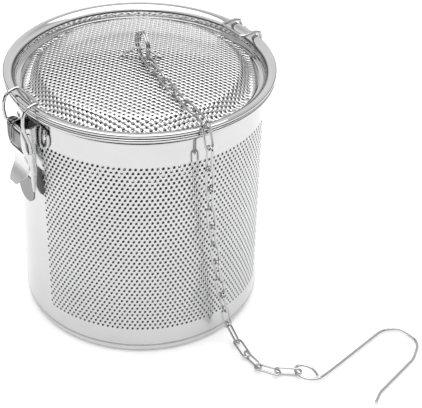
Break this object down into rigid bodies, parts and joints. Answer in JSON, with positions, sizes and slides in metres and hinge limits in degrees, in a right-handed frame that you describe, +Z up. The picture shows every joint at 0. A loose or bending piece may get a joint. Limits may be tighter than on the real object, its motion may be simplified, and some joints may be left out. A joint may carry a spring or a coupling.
{
  "type": "perforated infuser basket with latched lid and hanging chain",
  "caption": "Cylindrical perforated steel infuser basket with a dished hinged lid, toggle latch with wire bail, split ring, chain and bent wire hanging hook",
  "frame": {"origin": "centre of the flat underside", "axes": "+Z up along the basket's axis, hinge at +Y, latch at -Y, chain hangs at +X"},
  "size_m": [0.2073, 0.1551, 0.1463],
  "materials": {
    "perforated_sheet": "bright, finely brushed",
    "polished_sheet": "polished",
    "bright_wire": "polished"
  },
  "bodies": {
    "basket": {"basket_wall": "perforated_sheet", "basket_bottom": "perforated_sheet", "hinge_bracket": "polished_sheet", "latch_base_plate": "polished_sheet", "latch_pivot_pin": "bright_wire"},
    "lid": {"lid_frame": "polished_sheet", "lid_dome": "perforated_sheet", "lid_lug": "polished_sheet", "hinge_wire": "bright_wire"},
    "latch_lever_body": {"latch_lever": "polished_sheet"},
    "bail_body": {"latch_bail": "bright_wire"},
    "ring_body": {"lid_ring": "bright_wire"},
    "link_01": {"chain_link_01": "bright_wire"},
    "link_02": {"chain_link_02": "bright_wire"},
    "link_03": {"chain_link_03": "bright_wire"},
    "link_04": {"chain_link_04": "bright_wire"},
    "link_05": {"chain_link_05": "bright_wire"},
    "link_06": {"chain_link_06": "bright_wire"},
    "link_07": {"chain_link_07": "bright_wire"},
    "link_08": {"chain_link_08": "bright_wire"},
    "link_09": {"chain_link_09": "bright_wire"},
    "link_10": {"chain_link_10": "bright_wire"},
    "link_11": {"chain_link_11": "bright_wire"},
    "link_12": {"chain_link_12": "bright_wire"},
    "link_13": {"chain_link_13": "bright_wire"},
    "link_14": {"chain_link_14": "bright_wire"},
    "link_15": {"chain_link_15": "bright_wire"},
    "link_16": {"chain_link_16": "bright_wire"},
    "link_17": {"chain_link_17": "bright_wire"},
    "link_18": {"chain_link_18": "bright_wire"},
    "link_19": {"chain_link_19": "bright_wire"},
    "link_20": {"chain_link_20": "bright_wire"},
    "link_21": {"chain_link_21": "bright_wire"},
    "link_22": {"chain_link_22": "bright_wire"},
    "hook_body": {"hook": "bright_wire"}
  },
  "joints": [
    {"name": "lid_hinge", "type": "hinge", "parent": "basket", "child": "lid", "pos_m": [0, 0.0668, 0.1245], "axis": [-1, 0, 0], "range_deg": [0, 110]},
    {"name": "latch_lever_pivot", "type": "hinge", "parent": "basket", "child": "latch_lever_body", "pos_m": [0, -0.0656, 0.115], "axis": [-1, 0, 0], "range_deg": [0, 143]},
    {"name": "latch_bail_pivot", "type": "hinge", "parent": "latch_lever_body", "child": "bail_body", "pos_m": [0, -0.0652, 0.1062], "axis": [1, 0, 0], "range_deg": [0, 154]},
    {"name": "ring_swing", "type": "hinge", "parent": "lid", "child": "ring_body", "pos_m": [0, 0, 0.13665], "axis": [-0.2164, -0.9763, 0], "range_deg": [0, 30]},
    {"name": "link_01_joint", "type": "hinge", "parent": "ring_body", "child": "link_01", "pos_m": [0.00771, -0.00171, 0.13475], "axis": [-0.2055, -0.9787, 0], "range_deg": [0, 8]},
    {"name": "link_02_joint", "type": "hinge", "parent": "link_01", "child": "link_02", "pos_m": [0.01592, -0.00361, 0.13459], "axis": [-0.2055, -0.9787, 0], "range_deg": [0, 12]},
    {"name": "link_03_joint", "type": "hinge", "parent": "link_02", "child": "link_03", "pos_m": [0.0254, -0.00486, 0.13356], "axis": [0.0587, -0.0082, 0.9982], "range_deg": [-6, 6]},
    {"name": "link_04_joint", "type": "hinge", "parent": "link_03", "child": "link_04", "pos_m": [0.03499, -0.00601, 0.13249], "axis": [-0.1191, -0.9929, 0], "range_deg": [0, 12]},
    {"name": "link_05_joint", "type": "hinge", "parent": "link_04", "child": "link_05", "pos_m": [0.04449, -0.00695, 0.13166], "axis": [0.0593, -0.0059, 0.9982], "range_deg": [-6, 6]},
    {"name": "link_06_joint", "type": "hinge", "parent": "link_05", "child": "link_06", "pos_m": [0.05406, -0.00784, 0.13155], "axis": [-0.0995, -0.995, 0], "range_deg": [0, 12]},
    {"name": "link_07_joint", "type": "hinge", "parent": "link_06", "child": "link_07", "pos_m": [0.0644, -0.00925, 0.13159], "axis": [0, 0, 1], "range_deg": [-6, 6]},
    {"name": "link_08_joint", "type": "hinge", "parent": "link_07", "child": "link_08", "pos_m": [0.06728, -0.00928, 0.12026], "axis": [-0.0023, -1, 0.0076], "range_deg": [0, 12]},
    {"name": "link_09_joint", "type": "hinge", "parent": "link_08", "child": "link_09", "pos_m": [0.0672, -0.0092, 0.10921], "axis": [1, 0, 0], "range_deg": [-12, 12]},
    {"name": "link_10_joint", "type": "hinge", "parent": "link_09", "child": "link_10", "pos_m": [0.0672, -0.00861, 0.09822], "axis": [0, -0.9987, -0.0502], "range_deg": [0, 12]},
    {"name": "link_11_joint", "type": "hinge", "parent": "link_10", "child": "link_11", "pos_m": [0.0672, -0.00771, 0.08724], "axis": [1, 0, 0], "range_deg": [-12, 12]},
    {"name": "link_12_joint", "type": "hinge", "parent": "link_11", "child": "link_12", "pos_m": [0.0672, -0.00651, 0.07626], "axis": [0, -0.9942, -0.1078], "range_deg": [0, 12]},
    {"name": "link_13_joint", "type": "hinge", "parent": "link_12", "child": "link_13", "pos_m": [0.0672, -0.00505, 0.06528], "axis": [1, 0, 0], "range_deg": [-12, 12]},
    {"name": "link_14_joint", "type": "hinge", "parent": "link_13", "child": "link_14", "pos_m": [0.0672, -0.00335, 0.0543], "axis": [0, -0.9882, -0.1532], "range_deg": [0, 12]},
    {"name": "link_15_joint", "type": "hinge", "parent": "link_14", "child": "link_15", "pos_m": [0.0672, -0.00141, 0.04332], "axis": [1, 0, 0], "range_deg": [-12, 12]},
    {"name": "link_16_joint", "type": "hinge", "parent": "link_15", "child": "link_16", "pos_m": [0.0672, 0.00074, 0.03234], "axis": [0, -0.9813, -0.1925], "range_deg": [0, 12]},
    {"name": "link_17_joint", "type": "hinge", "parent": "link_16", "child": "link_17", "pos_m": [0.0672, 0.00311, 0.02136], "axis": [1, 0, 0], "range_deg": [-12, 12]},
    {"name": "link_18_joint", "type": "hinge", "parent": "link_17", "child": "link_18", "pos_m": [0.06677, 0.00574, 0.01075], "axis": [0, -0.9737, -0.2278], "range_deg": [0, 12]},
    {"name": "link_19_joint", "type": "hinge", "parent": "link_18", "child": "link_19", "pos_m": [0.07214, 0.008, 0.0019], "axis": [0.8593, 0, 0.5115], "range_deg": [-6, 6]},
    {"name": "link_20_joint", "type": "hinge", "parent": "link_19", "child": "link_20", "pos_m": [0.08264, 0.00543, 0.0024], "axis": [-0.1961, -0.9806, 0], "range_deg": [0, 12]},
    {"name": "link_21_joint", "type": "hinge", "parent": "link_20", "child": "link_21", "pos_m": [0.09258, 0.00488, 0.00237], "axis": [0, 0, 1], "range_deg": [-12, 12]},
    {"name": "link_22_joint", "type": "hinge", "parent": "link_21", "child": "link_22", "pos_m": [0.10069, 0.0104, 0.00237], "axis": [0.5291, -0.8486, 0], "range_deg": [0, 12]},
    {"name": "hook_joint", "type": "hinge", "parent": "link_22", "child": "hook_body", "pos_m": [0.1066, 0.018, 0.0025], "axis": [0, 0, 1], "range_deg": [-20, 20]}
  ],
  "couplings": [
    {"joint": "latch_lever_pivot", "follows": "lid_hinge", "ratio": 1.3},
    {"joint": "latch_bail_pivot", "follows": "lid_hinge", "ratio": 1.4}
  ]
}
